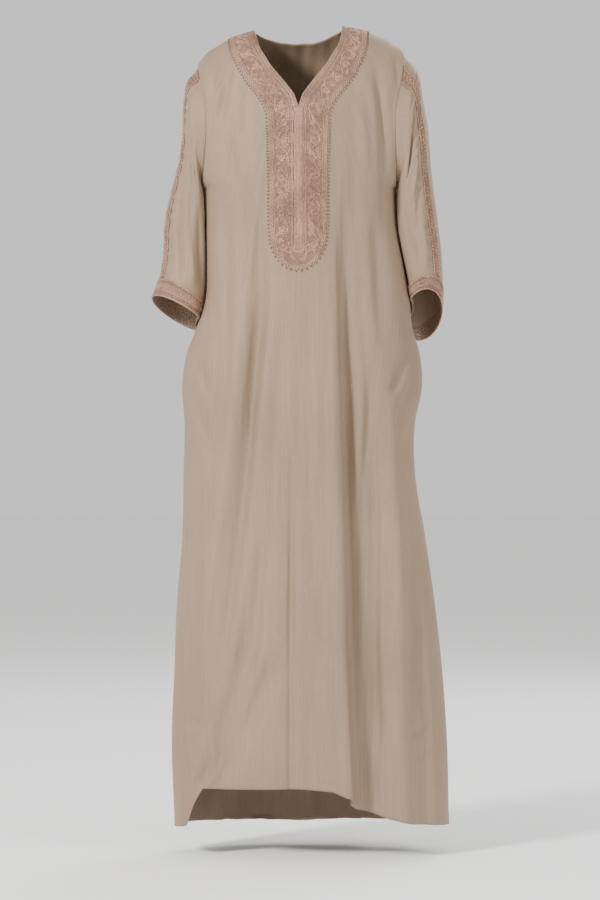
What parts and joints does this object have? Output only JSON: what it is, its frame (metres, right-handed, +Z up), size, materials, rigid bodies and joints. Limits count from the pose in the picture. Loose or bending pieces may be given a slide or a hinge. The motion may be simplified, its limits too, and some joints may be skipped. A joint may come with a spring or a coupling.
{
  "type": "thobe robe",
  "caption": "Long straight robe in its worn form, hollow, with a V neck, a worked chest band, wide three-quarter sleeves and side-seam pockets.",
  "frame": {"origin": "middle of the neck opening at the height of the shoulder seams, where the wearer's shoulders hold the robe", "axes": "+Z up along the robe's length, -Y out of its front, +X towards its left sleeve as worn, which is at a viewer's right"},
  "size_m": [0.5613, 0.3008, 1.5091],
  "materials": {
    "cloth": "plain taupe woven cloth with a soft sheen",
    "embroidery": "dusty pink-beige corded thread work",
    "braid": "twisted cord"
  },
  "bodies": {
    "root": {"front_panel": "cloth", "back_panel": "cloth", "sleeve_left": "cloth", "sleeve_right": "cloth", "pocket_bag_left": "cloth", "pocket_bag_right": "cloth", "chest_embroidery": "embroidery", "sleeve_band_left": "embroidery", "sleeve_band_right": "embroidery", "cuff_band_left": "embroidery", "cuff_band_right": "embroidery", "neck_braid_front": "braid", "neck_braid_back": "braid", "centre_braid": "braid"}
  },
  "joints": []
}
